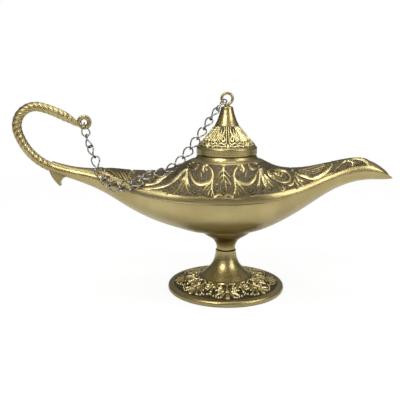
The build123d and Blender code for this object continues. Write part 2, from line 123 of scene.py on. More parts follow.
def material(name):
    """A new empty material and its tree."""
    made = bpy.data.materials.new(name)
    made.use_nodes = True
    made.node_tree.nodes.clear()
    return made, made.node_tree


def finish_material(tree, shader):
    """The shader goes to the surface output."""
    add(tree, "OutputMaterial", Surface=shader)


print("linear mid brass", [round(c, 3) for c in linear("#A8965A")])

# %% [markdown]
# ## Antique brass
# The lamp is cast brass with an antique finish: it is dipped dark, then the raised parts and the plain
# areas are buffed back to metal. One material does both. A value painted on each mesh says how high the
# spot lies in the relief, and it mixes the dark, dull dip with the bright, satin metal. Above 1 that value
# gives the highest ridges a light colour, partly rubbed wear and partly a painted highlight. An occlusion
# node keeps the dip in the creases and darkens it there further with painted shade. Fine brushing
# streaks and slow stains keep the plain areas from looking like new plating.

# %% Brass materials
MULTIPLY = {"blend_type": "MULTIPLY"}


def brass(name, attribute):
    """Antique brass; with an attribute, 0 is the dark ground, 1 is buffed metal and above 1 a painted
    highlight.
    """
    made, tree = material(name)
    place = add(tree, "TexCoord").outputs["Object"]
    stretched = add(tree, "Mapping", Vector=place, Scale=(60.0, 60.0, 900.0)).outputs["Vector"]
    brushing = add(tree, "TexNoise", Vector=stretched, Scale=1.0, Detail=3.0, Roughness=0.6).outputs["Fac"]
    stains = add(tree, "TexNoise", Vector=place, Scale=45.0, Detail=4.0, Roughness=0.55).outputs["Fac"]
    grain = add(tree, "TexNoise", Vector=place, Scale=1400.0, Detail=2.0).outputs["Fac"]
    metal = ramp(tree, stains, [(0.25, "#8E8058"), (0.5, "#9D8F64"), (0.75, "#ADA076")])
    rough_metal = add(tree, "MapRange", Value=brushing, To_Min=0.24, To_Max=0.40).outputs["Result"]
    crease = add(tree, "AmbientOcclusion", {"samples": 8}, Distance=0.0025).outputs["AO"]
    open_from, open_to = (0.08, 0.42) if attribute else (0.25, 0.8)
    clean = add(tree, "MapRange", Value=crease, From_Min=open_from, From_Max=open_to).outputs["Result"]
    if attribute:
        height = add(tree, "Attribute", {"attribute_name": "relief"}).outputs["Fac"]
        buffed = add(tree, "MapRange", Value=height, From_Min=0.05, From_Max=0.45).outputs["Result"]
        # painted highlight: above 1 the relief value turns the highest ridges a light brass colour, partly
        # rubbed wear and partly a painted highlight
        top = add(tree, "MapRange", Value=height, From_Min=1.05, From_Max=1.4).outputs["Result"]
        wear_and_painted_highlight = linear("#DDD09C")
        metal = add(tree, "MixRGB", Fac=top, Color1=metal, Color2=wear_and_painted_highlight).outputs["Color"]
        clean = add(tree, "Math", {"operation": "MULTIPLY"}, _0=clean, _1=buffed).outputs["Value"]
    dark = ramp(tree, grain, [(0.3, "#332E26"), (0.7, "#766C56")])
    # painted shade: this occlusion ramp darkens the dip colour further in creases and between parts
    painted_crease_shade = ramp(tree, crease, [(0.15, "#4A443A"), (0.75, "#FFFFFF")])
    dip_and_painted_shade = add(tree, "MixRGB", MULTIPLY, Fac=1.0, Color1=dark, Color2=painted_crease_shade).outputs["Color"]
    colour = add(tree, "MixRGB", Fac=clean, Color1=dip_and_painted_shade, Color2=metal).outputs["Color"]
    rough = add(tree, "MapRange", Value=clean, To_Min=0.62, To_Max=rough_metal).outputs["Result"]
    bump = add(tree, "Bump", Strength=0.12, Distance=0.0004, Height=brushing).outputs["Normal"]
    pits = add(tree, "Bump", Strength=0.25, Distance=0.0003, Height=grain, Normal=bump).outputs["Normal"]
    shader = add(tree, "BsdfPrincipled", Base_Color=colour, Metallic=1.0, Roughness=rough, Normal=pits)
    finish_material(tree, shader.outputs["BSDF"])
    return made


PLAIN_BRASS = brass("antique_brass_buffed", False)      # smooth areas: soft, slightly streaked reflections
RELIEF_BRASS = brass("antique_brass_embossed", True)    # dark ground and bright ridges: the ornament reads
print("nodes in the embossed brass:", len(RELIEF_BRASS.node_tree.nodes))

# %% [markdown]
# ## Nickel and steel
# The chain is nickel plated wire, whiter than the brass and much shinier, so it stands out against the
# deck. The screw under the foot is plain zinc plated steel and only shows from below.

# %% Chain and screw materials


def plated(name, low, high, rough_low, rough_high):
    """Plated wire or a screw: a bright metal with slightly uneven polish."""
    made, tree = material(name)
    place = add(tree, "TexCoord").outputs["Object"]
    cloud = add(tree, "TexNoise", Vector=place, Scale=350.0, Detail=3.0).outputs["Fac"]
    crease = add(tree, "AmbientOcclusion", {"samples": 8}, Distance=0.0012).outputs["AO"]
    colour = ramp(tree, cloud, [(0.3, low), (0.7, high)])
    shade = ramp(tree, crease, [(0.35, "#2A2926"), (0.9, "#FFFFFF")])
    colour = add(tree, "MixRGB", MULTIPLY, Fac=1.0, Color1=colour, Color2=shade).outputs["Color"]
    rough = add(tree, "MapRange", Value=cloud, To_Min=rough_low, To_Max=rough_high).outputs["Result"]
    bump = add(tree, "Bump", Strength=0.1, Distance=0.0001, Height=cloud).outputs["Normal"]
    shader = add(tree, "BsdfPrincipled", Base_Color=colour, Metallic=1.0, Roughness=rough, Normal=bump)
    finish_material(tree, shader.outputs["BSDF"])
    return made


NICKEL = plated("nickel_plate_bright", "#6F6D69", "#A3A19C", 0.14, 0.28)       # mirror-like dots of light
STEEL = plated("zinc_plated_steel", "#9A9C9E", "#B8BABC", 0.25, 0.40)          # duller, greyer, seldom seen


def dress(name, chosen):
    """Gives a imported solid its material."""
    mesh = NODES[name].data
    mesh.materials.clear()
    mesh.materials.append(chosen)


for name in NODES:
    if name.startswith("chain_link"):
        dress(name, NICKEL)
for name in ("foot_screw", "foot_washer"):
    dress(name, STEEL)
for name in ("hull", "stem_cone", "lid_eye"):
    dress(name, PLAIN_BRASS)
print("materials:", len(bpy.data.materials))

# %% [markdown]
# ## Drawing ornament as strokes
# Every embossed line here is a stroke: a smooth curve through a few given points, with a width at
# its start, middle and end, and a rounded top. A bead is a stroke of one point. The surface is a fine
# grid, and each grid point is lifted by the highest stroke that it lies under. That gives real relief,
# which catches light and shows in outline, where a bump texture would only shade.

# %% Stroke helpers


def smooth_line(points, step):
    """A curve through the points (Catmull-Rom), sampled about every step."""
    given = np.array(points, float)
    if len(given) == 1:
        return given
    ends = np.vstack([2 * given[0] - given[1], given, 2 * given[-1] - given[-2]])
    out = []
    for a, b, c, d in zip(ends, ends[1:], ends[2:], ends[3:]):
        count = max(2, int(np.hypot(*(c - b)) / step))
        t = np.linspace(0, 1, count, endpoint=False)[:, None]
        out.append(0.5 * (2 * b + (c - a) * t + (2 * a - 5 * b + 4 * c - d) * t ** 2
                          + (3 * b - a - 3 * c + d) * t ** 3))
    return np.vstack([*out, given[-1:]])


def lift(places, strokes, step=0.35):
    """How high each place lies in the relief, 0 to 1, under strokes of (widths, points)."""
    height = np.zeros(len(places))
    for widths, points in strokes:
        line = smooth_line(points, step)
        share = np.linspace(0, 1, len(line)) if len(line) > 1 else np.zeros(1)
        wide = np.interp(share, np.linspace(0, 1, len(widths)), widths) / 2
        reach = wide.max()
        low, high = line.min(0) - reach, line.max(0) + reach
        near = np.where(((places > low) & (places < high)).all(1))[0]
        for part in np.array_split(near, max(1, len(near) // 4000)):
            if len(part) == 0:
                continue
            gaps = np.hypot(*(places[part][:, None, :] - line[None, :, :]).transpose(2, 0, 1)) / wide
            best = np.clip(1 - gaps.min(1) ** 2, 0, 1) ** 0.5
            height[part] = np.maximum(height[part], best)
    return height


def mesh_piece(name, body, points, faces, relief, chosen, stands_for):
    """A smooth-shaded mesh in mm, with its relief value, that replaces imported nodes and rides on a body."""
    mesh = bpy.data.meshes.new(name)
    mesh.from_pydata((np.array(points) * MM).tolist(), [], faces)
    mesh.update()
    painted = mesh.attributes.new("relief", "FLOAT", "POINT")
    painted.data.foreach_set("value", np.array(relief, np.float32))
    mesh.shade_smooth()
    mesh.materials.append(chosen)
    piece = bpy.data.objects.new(name, mesh)
    bpy.context.scene.collection.objects.link(piece)
    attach(piece, body)
    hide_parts(*stands_for)
    print(name, "points", len(points), "faces", len(faces))


def grid_faces(rows, columns, wrap=False, start=0, keep=None):
    """Quads of a grid of points, row by row; wrap joins the last column to the first."""
    i, j = np.meshgrid(np.arange(rows - 1), np.arange(columns if wrap else columns - 1), indexing="ij")
    i, j = i.ravel(), j.ravel()
    after = (j + 1) % columns
    low, high = i * columns, (i + 1) * columns
    quads = np.stack([low + j, low + after, high + after, high + j], 1)
    if keep is not None:
        quads = quads[keep[quads].all(1)]
    return (quads + start).tolist()


def speckle(points, size):
    """A cheap even noise from -1 to 1 with features of about size mm."""
    p = points / size
    waves = (np.sin(p[:, 0] * 2.1 + 3 * np.sin(p[:, 2] * 1.3))
             + np.sin(p[:, 1] * 2.7 + 2 * np.sin(p[:, 0] * 1.7))
             + np.sin(p[:, 2] * 2.3 + 2.5 * np.sin(p[:, 1] * 1.9)))
    return waves / 3


trial = lift(np.array([[0.5, 0.0]]), [((2, 2), [(0, 0)])])
print("a bead 2 mm wide, 0.5 mm off its middle, has this share of its height:", trial.round(2))


# %% [markdown]
# ## The deck's shape
# The deck is half an ellipse at every station along the lamp, from the tail to the spout. Its half
# breadth and the heights of seam and ridge change smoothly, so a cubic curve through the same stations
# as the solid's gives a surface that follows it closely, with far more points than the solid's mesh has.

# %% Deck surface
TAIL, SPOUT, HALF_BREADTH, BASE, TALL = 103.0, 97.0, 33.0, 34.9, 47.7
STATIONS = np.array([
    (-1.030, 0.088, 0.863, 0.935), (-1.000, 0.091, 0.830, 0.901), (-0.951, 0.106, 0.786, 0.864),
    (-0.893, 0.118, 0.757, 0.832), (-0.835, 0.140, 0.732, 0.811), (-0.752, 0.212, 0.698, 0.799),
    (-0.660, 0.318, 0.641, 0.792), (-0.563, 0.470, 0.581, 0.770), (-0.466, 0.621, 0.539, 0.757),
    (-0.369, 0.764, 0.512, 0.762), (-0.272, 0.879, 0.493, 0.820), (-0.175, 0.958, 0.482, 0.925),
    (-0.058, 1.000, 0.478, 1.000), (0.062, 1.000, 0.480, 1.000), (0.186, 0.958, 0.497, 0.925),
    (0.289, 0.864, 0.526, 0.824), (0.392, 0.721, 0.572, 0.788), (0.495, 0.555, 0.629, 0.805),
    (0.598, 0.391, 0.696, 0.853), (0.701, 0.279, 0.753, 0.899), (0.804, 0.218, 0.782, 0.918),
    (0.876, 0.188, 0.778, 0.878), (0.938, 0.139, 0.750, 0.800), (1.000, 0.021, 0.684, 0.692)])


def cubic(x, knots, values):
    """A natural cubic spline through values at the knots."""
    n = len(knots)
    gap = np.diff(knots)
    matrix = np.eye(n)
    right = np.zeros(n)
    for i in range(1, n - 1):
        matrix[i, i - 1:i + 2] = gap[i - 1], 2 * (gap[i - 1] + gap[i]), gap[i]
        right[i] = 3 * ((values[i + 1] - values[i]) / gap[i] - (values[i] - values[i - 1]) / gap[i - 1])
    bend = np.linalg.solve(matrix, right)
    i = np.clip(np.searchsorted(knots, x) - 1, 0, n - 2)
    t = x - knots[i]
    slope = (values[i + 1] - values[i]) / gap[i] - gap[i] * (2 * bend[i] + bend[i + 1]) / 3
    return values[i] + slope * t + bend[i] * t ** 2 + (bend[i + 1] - bend[i]) / (3 * gap[i]) * t ** 3


KNOTS = np.where(STATIONS[:, 0] > 0, STATIONS[:, 0] * SPOUT, STATIONS[:, 0] * TAIL)
WIDE = STATIONS[:, 1] * HALF_BREADTH
SEAM = BASE + STATIONS[:, 2] * TALL
RIDGE = BASE + STATIONS[:, 3] * TALL


def deck_point(x, turn, inset):
    """A point of the deck at x, turned from the front seam (0) over the ridge to the back seam (pi)."""
    wide, seam, ridge = cubic(x, KNOTS, WIDE), cubic(x, KNOTS, SEAM), cubic(x, KNOTS, RIDGE)
    high = ridge - seam - inset
    return np.stack([x, -(wide - inset) * np.cos(turn), seam + high * np.sin(turn)], -1)


print("half breadth at the middle:", round(float(cubic(np.zeros(1), KNOTS, WIDE)[0]), 2), "mm")

# %% [markdown]
# ## The deck's ornament
# The pattern is traditional: a leaf spray in the middle between two C-scrolls, swags and stalks beside
# them, a rosette in an oval, then a feathered sweep that ends in curls on the spout, and long leaves
# towards the tail. It was drawn on three enlarged front-view sheets. Each sheet has a corner and
# a scale, and the strokes are laid on the metal along the line of sight. The back of the lamp gets the
# same pattern mirrored.

# %% Deck strokes
SHEET_SCALE = 13.64
MIDDLE = (150, 140)           # corner of the sheet for the middle, in front-view units
SPOUT_SIDE = (240, 140)
TAIL_SIDE = (60, 140)
TIP_SIDE = (310, 140)         # this one is drawn larger
TIP_SCALE = 16.67
MIRROR = 1003                 # the upright line about which the middle is mirrored, on its own sheet

middle_half = [
    ((26, 22, 14), [(996, 400), (950, 450), (908, 505)]),
    ((22, 22, 14), [(996, 465), (950, 520), (903, 590)]),
    ((18, 20, 20), [(985, 545), (950, 580), (905, 603)]),
    ((16, 16, 18), [(985, 560), (967, 640), (970, 695), (1003, 718)]),
    ((30, 26, 30), [(735, 425), (720, 395), (740, 360), (785, 346), (825, 375), (850, 430), (862, 490)]),
    ((40, 40), [(770, 402)]),
    ((34, 44, 48, 40, 20), [(862, 480), (835, 545), (770, 588), (690, 605), (620, 580), (572, 520),
                            (548, 450)]),
    ((30, 26, 26), [(862, 480), (852, 560), (842, 650), (860, 720), (884, 772)]),
    ((16, 26, 14), [(850, 575), (775, 620), (708, 712)]),
    ((14, 22, 14), [(846, 610), (800, 650), (745, 715)]),
    ((14, 26, 16), [(840, 640), (805, 700), (785, 765)]),
    ((12, 22, 16), [(846, 680), (836, 740), (832, 792)]),
    ((22, 20, 22), [(515, 400), (508, 500), (512, 600)]),
    ((18, 20, 14), [(512, 520), (530, 600), (552, 652)]),
    ((16, 26, 18), [(520, 360), (570, 396), (625, 398), (662, 345)]),
    ((16, 20, 14), [(545, 330), (590, 318), (622, 292)]),
    ((26, 26), [(605, 702)]),
    ((40, 40, 30), [(880, 775), (925, 748), (965, 752), (990, 785)]),
    ((28, 20), [(760, 790), (700, 770), (650, 775)]),
    ((18, 18), [(690, 430), (700, 500)]), ((14, 14), [(900, 680)]), ((14, 14), [(930, 640)]),
]
for turn in range(6):
    spot = (605 + 46 * math.cos(turn * math.pi / 3 + 0.4), 702 + 42 * math.sin(turn * math.pi / 3 + 0.4))
    middle_half.append(((28, 28), [spot]))
middle_only = [((60, 40), [(1003, 350), (1003, 385)]), ((20, 18), [(1003, 400), (1003, 545)]),
               ((20, 20, 20), [(1003, 400), (1003, 380)])]

spout_side = [
    ((20, 22, 20), [(282, 395), (275, 500), (262, 620)]),
    ((18, 26, 26, 18), [(300, 400), (305, 500), (335, 600), (405, 700)]),
    ((12, 20, 14), [(318, 500), (360, 590), (440, 690)]),
    ((12, 16, 12), [(325, 470), (385, 570), (480, 680)]),
    ((12, 22, 16), [(335, 480), (420, 570), (520, 640), (560, 690)]),
    ((24, 28, 32, 30, 26), [(372, 415), (420, 400), (530, 412), (640, 445), (690, 500), (670, 560),
                            (600, 578),
                            (500, 545), (410, 490), (372, 415)]),
    ((18, 22, 18), [(430, 440), (450, 490), (520, 520), (590, 545), (620, 525)]),
    ((16, 20, 16), [(430, 432), (500, 425), (580, 450), (622, 505)]),
    ((30, 26), [(490, 470), (560, 495)]),
    ((30, 30), [(520, 460)]),
    ((26, 26), [(575, 470)]),
    ((26, 26), [(470, 455)]),
    ((16, 30, 34, 16), [(742, 540), (725, 595), (680, 618), (640, 615)]),
    ((22, 26, 26), [(560, 640), (600, 650), (604, 678), (588, 700)]),
    ((16, 22, 18), [(745, 480), (760, 560), (796, 628)]),
    ((14, 24, 18), [(765, 490), (805, 560), (858, 622)]),
    ((14, 26, 26, 16), [(780, 490), (820, 540), (880, 570), (955, 578)]),
    ((20, 34, 50, 56, 48, 34), [(760, 458), (850, 492), (950, 520), (1040, 518), (1130, 470), (1210, 400),
                                (1262, 330)]),
    ((44, 44), [(1252, 325)]), ((46, 46), [(1202, 332)]),
    ((10, 15, 10), [(790, 425), (900, 402), (1030, 372), (1150, 338)]),
    ((10, 15, 10), [(810, 440), (930, 425), (1050, 395), (1165, 350)]),
    ((10, 15, 10), [(840, 455), (950, 448), (1070, 418), (1172, 362)]),
    ((10, 15, 10), [(880, 470), (980, 468), (1090, 436), (1178, 376)]),
    ((24, 30, 24), [(690, 430), (715, 415), (745, 440)]), ((26, 26), [(716, 425)]),
    ((30, 30), [(780, 655)]), ((20, 26), [(335, 665), (350, 690)]), ((20, 20), [(300, 690)]),
]
tip_side = [
    ((22, 26, 30, 30, 24), [(400, 520), (450, 465), (520, 400), (590, 360), (660, 352), (710, 375),
                            (712, 415),
                            (680, 432), (640, 420)]),
    ((26, 26), [(640, 405)]), ((30, 30), [(485, 352)]),
    ((24, 22, 18), [(700, 350), (760, 385), (830, 402), (885, 400)]),
    ((20, 30, 34, 26), [(700, 330), (800, 322), (900, 345), (955, 395), (960, 425)]),
    ((22, 24), [(890, 375), (900, 385)]), ((20, 18), [(440, 385), (460, 370)]),
    ((16, 22, 26, 20), [(380, 570), (480, 520), (620, 480), (760, 445), (930, 425)]),
]
tail_side = [
    ((16, 26, 18), [(560, 395), (650, 440), (730, 495)]),
    ((16, 26, 18), [(650, 392), (730, 440), (800, 500)]),
    ((16, 26, 18), [(725, 395), (790, 450), (845, 515)]),
    ((16, 28, 20), [(790, 400), (850, 460), (895, 545)]),
    ((16, 28, 20), [(850, 410), (895, 470), (925, 550)]),
    ((24, 34, 30, 20), [(1030, 440), (990, 425), (950, 445), (945, 500), (985, 540)]),
    ((34, 34), [(1000, 448)]),
    ((20, 34, 34, 20), [(1060, 560), (1110, 500), (1170, 450), (1240, 440)]),
    ((20, 36, 38, 26), [(1090, 610), (1200, 608), (1310, 585), (1440, 505)]),
    ((18, 30, 34, 22), [(1060, 660), (1220, 662), (1360, 645), (1480, 605)]),
    ((20, 26, 20), [(1120, 560), (1220, 530), (1300, 470)]),
    ((16, 22, 16), [(1190, 480), (1260, 470), (1330, 430)]),
    ((30, 30), [(1090, 560)]), ((24, 24, 16), [(950, 590), (985, 640), (1040, 650)]),
    ((16, 24, 16), [(880, 560), (930, 600), (960, 660)]),
]
tail_middle = [
    ((34, 32, 30, 20), [(120, 648), (240, 612), (345, 545), (430, 455), (500, 405)]),
    ((20, 26, 18), [(0, 560), (100, 540), (200, 500), (300, 440)]),
    ((14, 24, 16), [(500, 430), (470, 540), (400, 650), (310, 745)]),
    ((12, 20, 14), [(500, 480), (480, 590), (430, 700)]),
    ((12, 18, 14), [(495, 560), (500, 650), (540, 720)]),
    ((12, 16, 12), [(340, 580), (400, 540), (470, 450)]),
    ((12, 16, 12), [(380, 590), (430, 560), (480, 500)]),
    ((34, 34), [(235, 688)]),
    ((26, 30), [(200, 712), (225, 730)]),
    ((20, 22, 16), [(100, 690), (150, 700), (190, 680)]),
    ((16, 20), [(300, 640), (350, 660)]), ((22, 22), [(400, 735)]),
]


def placed(strokes, corner, scale, mirror=None):
    """Strokes from an enlarged sheet, in front-view units, mirrored about an upright line if asked."""
    out = []
    for widths, points in strokes:
        turned_over = [(mirror * 2 - x if mirror else x, y) for x, y in points]
        moved = [(x / scale + corner[0], y / scale + corner[1]) for x, y in turned_over]
        out.append(([w / scale for w in widths], moved))
    return out


deck_strokes = (placed(middle_half, MIDDLE, SHEET_SCALE) + placed(middle_half, MIDDLE, SHEET_SCALE, MIRROR)
                + placed(middle_only, MIDDLE, SHEET_SCALE) + placed(spout_side, SPOUT_SIDE, SHEET_SCALE)
                + placed(tip_side, TIP_SIDE, TIP_SCALE) + placed(tail_side, TAIL_SIDE, SHEET_SCALE)
                + placed(tail_middle, MIDDLE, SHEET_SCALE))
print("deck strokes:", len(deck_strokes))

# %% [markdown]
# ## The embossed deck
# The ground between the strokes is sunk a little and stippled, and it ends in a scalloped edge above a
# smooth margin. The seam between deck and bowl is a fine sunk line. The tail and the beak of the spout
# stay smooth.

# %% Build the deck
RAISE, SINK = 0.75, 0.45      # mm above and below the plain surface
START_HEIGHT, START_LEAN = 74.0, 0.435      # the tail's end face: a height on it, x gained per mm up
MOUTH_X, MOUTH_HEIGHT, MOUTH_LEAN = 91.7, 73.1, 0.7     # the slanting end above the spout's lip
PLAIN_RADIUS = 20.0           # round the collar the metal stays plain up to here
COLLAR_RADIUS, COLLAR_BORE = 17.0, 15.2     # the deck's skins stop here, inside the collar's wall
SEAM_WIDTH, SEAM_DEPTH = 0.45, 0.3
MEAN_RADIUS = 25.0            # turns an angle round the deck into mm
edge_u = np.array([96, 101, 111, 126, 141, 155, 172, 187, 198, 211, 223, 236, 245, 253, 271, 284, 299,
                   310, 317, 324,
                   332, 336, 350, 362, 370, 376])
edge_v = np.array([164, 169, 175, 181, 188, 190.5, 194.3, 196.6, 196.8, 198.6, 197, 199.2, 196.6, 196,
                   193.8, 191.3,
                   187.2, 183.5, 179.2, 175.6, 172.6, 173, 168.6, 166.6, 165, 160])


def ground_share(sheet):
    """1 inside the sunk ground, 0 on the smooth metal, with a soft edge."""
    low = np.interp(sheet[:, 0], edge_u, edge_v)
    inside = np.clip((low - sheet[:, 1]) / 0.7 + 0.5, 0, 1)
    ends = np.clip((sheet[:, 0] - 100) / 10, 0, 1) * np.clip((369 - sheet[:, 0]) / 3, 0, 1)
    return inside * ends


def relieve(points, outward, strokes_height, ground, raise_by=RAISE, sink_by=SINK):
    """Points moved out by the strokes and in by the ground, and the buffing value of each, above 1 on strokes
    in the ground for a painted highlight.
    """
    rough = 0.10 * speckle(points, 0.55) * ground * (1 - strokes_height)
    moved = raise_by * strokes_height - sink_by * ground * (1 - strokes_height) + rough
    buffed = np.clip(1 - ground * (1 - strokes_height * 1.4), 0, 1) + 0.5 * strokes_height * ground
    return points + outward * moved[:, None], buffed


rows, columns = 760, 300
share = np.linspace(0, 1, rows)[:, None]
even = np.linspace(0, 1, columns)
turn = np.pi * (0.5 - 0.175 * np.cos(np.pi * even) - 0.325 * (1 - 2 * even))
turn = np.tile(np.clip(turn, 0, np.pi)[None, :], (rows, 1))
end_height = START_HEIGHT + np.zeros(columns)
for _ in range(3):            # the mouth slants, so its height and place settle in a few rounds
    mouth_x = MOUTH_X + (MOUTH_HEIGHT - end_height) * MOUTH_LEAN
    end_height = deck_point(mouth_x, turn[0], 0)[:, 2]
mouth_x = MOUTH_X + (MOUTH_HEIGHT - end_height) * MOUTH_LEAN
start_height = deck_point(np.full(columns, -TAIL), turn[0], 0)[:, 2]
start_x = -TAIL + (start_height - START_HEIGHT) * START_LEAN
x = start_x[None, :] * (1 - share) + mouth_x[None, :] * share
outer = deck_point(x.ravel(), turn.ravel(), 0)
ahead = deck_point(x.ravel() + 0.05, turn.ravel(), 0) - outer
around = deck_point(x.ravel(), turn.ravel() + 0.001, 0) - outer
outward = np.cross(around, ahead)
outward /= np.linalg.norm(outward, axis=1)[:, None]
facing = outer.copy()
facing[:, 1] = -np.abs(facing[:, 1])
sheet = sheet_of(facing)
carved = lift(sheet, deck_strokes)
radius = np.hypot(outer[:, 0], outer[:, 1])
ground = ground_share(sheet) * np.clip((radius - PLAIN_RADIUS - 0.6) / 0.8, 0, 1)
carved *= np.clip(radius - PLAIN_RADIUS, 0, 1)
skin, buffed = relieve(outer, outward, carved, ground)
from_seam = np.minimum(turn.ravel(), np.pi - turn.ravel()) * MEAN_RADIUS
seam_line = np.clip(1 - from_seam / SEAM_WIDTH, 0, 1)
skin -= outward * (seam_line * SEAM_DEPTH)[:, None]
skin[:, 2] = np.maximum(skin[:, 2], np.interp(outer[:, 0], KNOTS, SEAM) - 0.05)
buffed = np.where(seam_line > 0.2, 0.1, buffed)
keep_outer = radius > COLLAR_RADIUS
print("highest stroke on the deck:", round(float(carved.max() * RAISE), 2), "mm")

# %% [markdown]
# The inside of the deck is the same surface moved in by the wall, and short strips close the edges at the
# seam and at the mouth of the spout; round the lid's collar the skins end inside the collar's wall.

# %% Close the deck
HOLLOW_START = -72.0          # behind this the casting is solid
WALL, THIN_FROM, THIN_TO = 1.8, 63.0, 108.6
inner_rows, inner_columns = 160, 90
inner_share = np.linspace(0, 1, inner_rows)[:, None]
inner_turn = np.tile(np.linspace(0, np.pi, inner_columns)[None, :], (inner_rows, 1))
inner_height = deck_point(np.full(inner_columns, MOUTH_X), inner_turn[0], 0)[:, 2]
inner_end = MOUTH_X - 0.1 + (MOUTH_HEIGHT - inner_height[None, :]) * MOUTH_LEAN
inner_x = HOLLOW_START * (1 - inner_share) + inner_end * inner_share
wall = np.interp(inner_x.ravel(), [THIN_FROM, THIN_TO], [WALL, 0.0])
wide_in = cubic(inner_x.ravel(), KNOTS, WIDE) - wall
high_in = cubic(inner_x.ravel(), KNOTS, RIDGE) - cubic(inner_x.ravel(), KNOTS, SEAM) - wall
inner = np.stack([inner_x.ravel(), -wide_in * np.cos(inner_turn.ravel()),
                  cubic(inner_x.ravel(), KNOTS, SEAM) + high_in * np.sin(inner_turn.ravel())], 1)
keep_inner = np.hypot(inner[:, 0], inner[:, 1]) > COLLAR_BORE
points = np.vstack([skin, inner])
faces = grid_faces(rows, columns, keep=keep_outer)
inner_faces = grid_faces(inner_rows, inner_columns, start=len(skin), keep=keep_inner)
faces += [quad[::-1] for quad in inner_faces]
relief = np.concatenate([buffed, np.full(len(inner), 0.25)])


def strip(first, second):
    """Faces between two lines of points with the same count."""
    return [[first[i], first[i + 1], second[i + 1], second[i]] for i in range(len(first) - 1)]


def matched(line, count):
    """An even choice of count points of a longer line."""
    return [line[round(i * (len(line) - 1) / (count - 1))] for i in range(count)]


outer_points = np.arange(rows * columns).reshape(rows, columns)
inner_points = np.arange(inner_rows * inner_columns).reshape(inner_rows, inner_columns) + len(skin)
faces += strip(matched(outer_points[-1].tolist(), inner_columns), inner_points[-1].tolist())
solid_rows = x[:, 0] <= HOLLOW_START
for side in (0, -1):
    outside_line = outer_points[~solid_rows, side].tolist()
    faces += strip(matched(outside_line, inner_rows), inner_points[:, side].tolist())
faces += strip(outer_points[solid_rows, 0].tolist(), outer_points[solid_rows, -1].tolist())
faces.append(outer_points[0].tolist())
faces.append(inner_points[0].tolist()[::-1])
mesh_piece("embossed_deck", "base", points, faces, relief, RELIEF_BRASS, ["cover"])

# %% [markdown]
# ## Turned pieces
# Collar, lid and foot are round, so each is a closed outline turned about the lamp's axis. A function
# may lift points along the outline's outward side, which puts the ornament on a lid or a foot in the
# same way as on the deck.

# %% Turning helper


def dense(outline, step):
    """The outline's corners joined by points about every step mm, closed."""
    out = []
    for (r0, z0), (r1, z1) in zip(outline, outline[1:] + outline[:1]):
        count = max(1, int(math.hypot(r1 - r0, z1 - z0) / step))
        out += [(r0 + (r1 - r0) * i / count, z0 + (z1 - z0) * i / count) for i in range(count)]
    return np.array(out)


def turned(name, body, outline, step, around, ornament, chosen, stands_for):
    """A closed outline of (radius, height), counter-clockwise, turned about the axis."""
    line = dense(outline, step)
    along = np.roll(line, -1, 0) - np.roll(line, 1, 0)
    side = np.stack([along[:, 1], -along[:, 0]], 1)
    side /= np.linalg.norm(side, axis=1)[:, None] + 1e-9
    angle = np.linspace(0, 2 * np.pi, around, endpoint=False)
    r, z = line[:, 0][:, None], line[:, 1][:, None]
    points = np.stack([r * np.sin(angle), -r * np.cos(angle), z + 0 * angle], -1).reshape(-1, 3)
    outward = np.stack([side[:, :1] * np.sin(angle), -side[:, :1] * np.cos(angle), side[:, 1:] + 0 * angle],
                       -1).reshape(-1, 3)
    turns = np.tile(angle, len(line))
    heights, rounds = np.repeat(line[:, 1], around), np.repeat(line[:, 0], around)
    if ornament:
        raised, ground = ornament(turns, rounds, heights, outward)
        points, buffed = relieve(points, outward, raised, ground, 0.5, 0.35)
    else:
        buffed = np.ones(len(points))
    rows_here = len(line)
    faces = grid_faces(rows_here, around, wrap=True)
    last = (rows_here - 1) * around
    faces += [[last + j, last + (j + 1) % around, (j + 1) % around, j] for j in range(around)]
    mesh_piece(name, body, points, faces, buffed, chosen, stands_for)


# The collar: a short upright tube whose foot flares out over the deck.
collar_outline = [(14.9, 73.5), (17.4, 73.5), (17.4, 75.6), (20.9, 76.6), (20.6, 77.3), (19.9, 77.7),
                  (19.0, 78.3),
                  (18.2, 79.0), (17.6, 79.8), (17.4, 80.6), (17.1, 80.98), (15.2, 80.98), (14.9, 80.6)]
turned("collar", "base", collar_outline, 0.6, 160, None, RELIEF_BRASS, ["cover"])

# %% [markdown]
# ## The lid
# Below a smooth neck the lid's cone is embossed: upright ribs in pairs, a long loop on each side of
# them, and a band of ribbons and beads just above the plain ring. The pattern repeats eight times round.

# %% Build the lid
LID_CONE = [(17.0, 86.0), (14.4, 88.5), (11.7, 91.5), (9.25, 94.4), (7.15, 97.6), (5.6, 100.7),
            (4.4, 104.1),
            (3.7, 106.6)]
lid_outline = ([(12.9, 76.6), (14.5, 76.6), (14.5, 81.1), (16.9, 81.1), (17.3, 81.4), (17.5, 82.0),
                (17.5, 85.2),
                (17.3, 85.7)] + LID_CONE + [(3.4, 108.2), (2.9, 108.6), (1.75, 108.6), (1.75, 103.0),
                                            (2.9, 102.6),
                (3.9, 100.5), (5.5, 97.5), (7.6, 94.3), (10.1, 91.3), (12.9, 87.9)])
LID_REPEATS = 8
lid_half = [
    ((0.8, 1.0, 0.8), [(0.75, 89.6), (0.62, 93.5), (0.5, 97.2)]),
    ((0.8, 1.1, 1.1, 0.8), [(1.6, 97.0), (1.5, 95.6), (2.3, 94.2), (3.3, 92.0), (3.2, 90.3),
                            (2.3, 89.8), (1.7, 90.8),
                            (2.2, 92.6), (1.75, 94.6)]),
    ((0.7, 0.9, 0.7), [(3.3, 96.0), (3.7, 93.8), (4.4, 91.0), (4.8, 89.6)]),
    ((0.8, 1.0, 0.8), [(0.9, 88.9), (2.4, 88.2), (3.9, 88.9), (5.4, 88.2)]),
    ((0.7, 0.8, 0.7), [(2.0, 87.3), (3.6, 87.0), (5.2, 87.5)]),
    ((1.2, 1.2), [(1.35, 87.4)]), ((1.0, 1.0), [(5.9, 87.3)]),
]
lid_strokes = lid_half + [(w, [(-t, z) for t, z in p]) for w, p in lid_half]
lid_strokes.append(((1.6, 1.3), [(0, 87.2), (0, 88.0)]))


